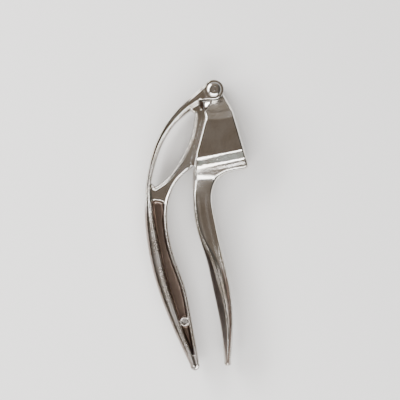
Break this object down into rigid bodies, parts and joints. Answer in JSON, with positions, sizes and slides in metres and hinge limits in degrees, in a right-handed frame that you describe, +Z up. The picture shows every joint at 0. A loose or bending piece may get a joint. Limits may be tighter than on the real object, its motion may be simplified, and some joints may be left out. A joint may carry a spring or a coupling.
{
  "type": "garlic press",
  "caption": "Cast aluminium garlic press: a perforated hopper arm and a plunger arm, hinged on one pin, with long curved handles and a hanging hole.",
  "frame": {"origin": "middle of the underside of the closed press lying on the side of its hopper", "axes": "+Z up, along the hinge pin; +Y from the handle tips to the hinge, the long way; +X from the plunger towards the perforated plate"},
  "size_m": [0.0556, 0.1554, 0.024],
  "materials": {
    "cast_aluminium": "polished casting",
    "pin_metal": "polished"
  },
  "bodies": {
    "hopper_arm": {"hopper_arm": "cast_aluminium"},
    "plunger_arm": {"plunger_arm": "cast_aluminium", "hinge_pin": "pin_metal"}
  },
  "joints": [
    {"name": "hinge", "type": "hinge", "parent": "hopper_arm", "child": "plunger_arm", "pos_m": [0.0094, 0.07245, 0.012], "axis": [0, 0, 1], "range_deg": [-110, 0]}
  ]
}
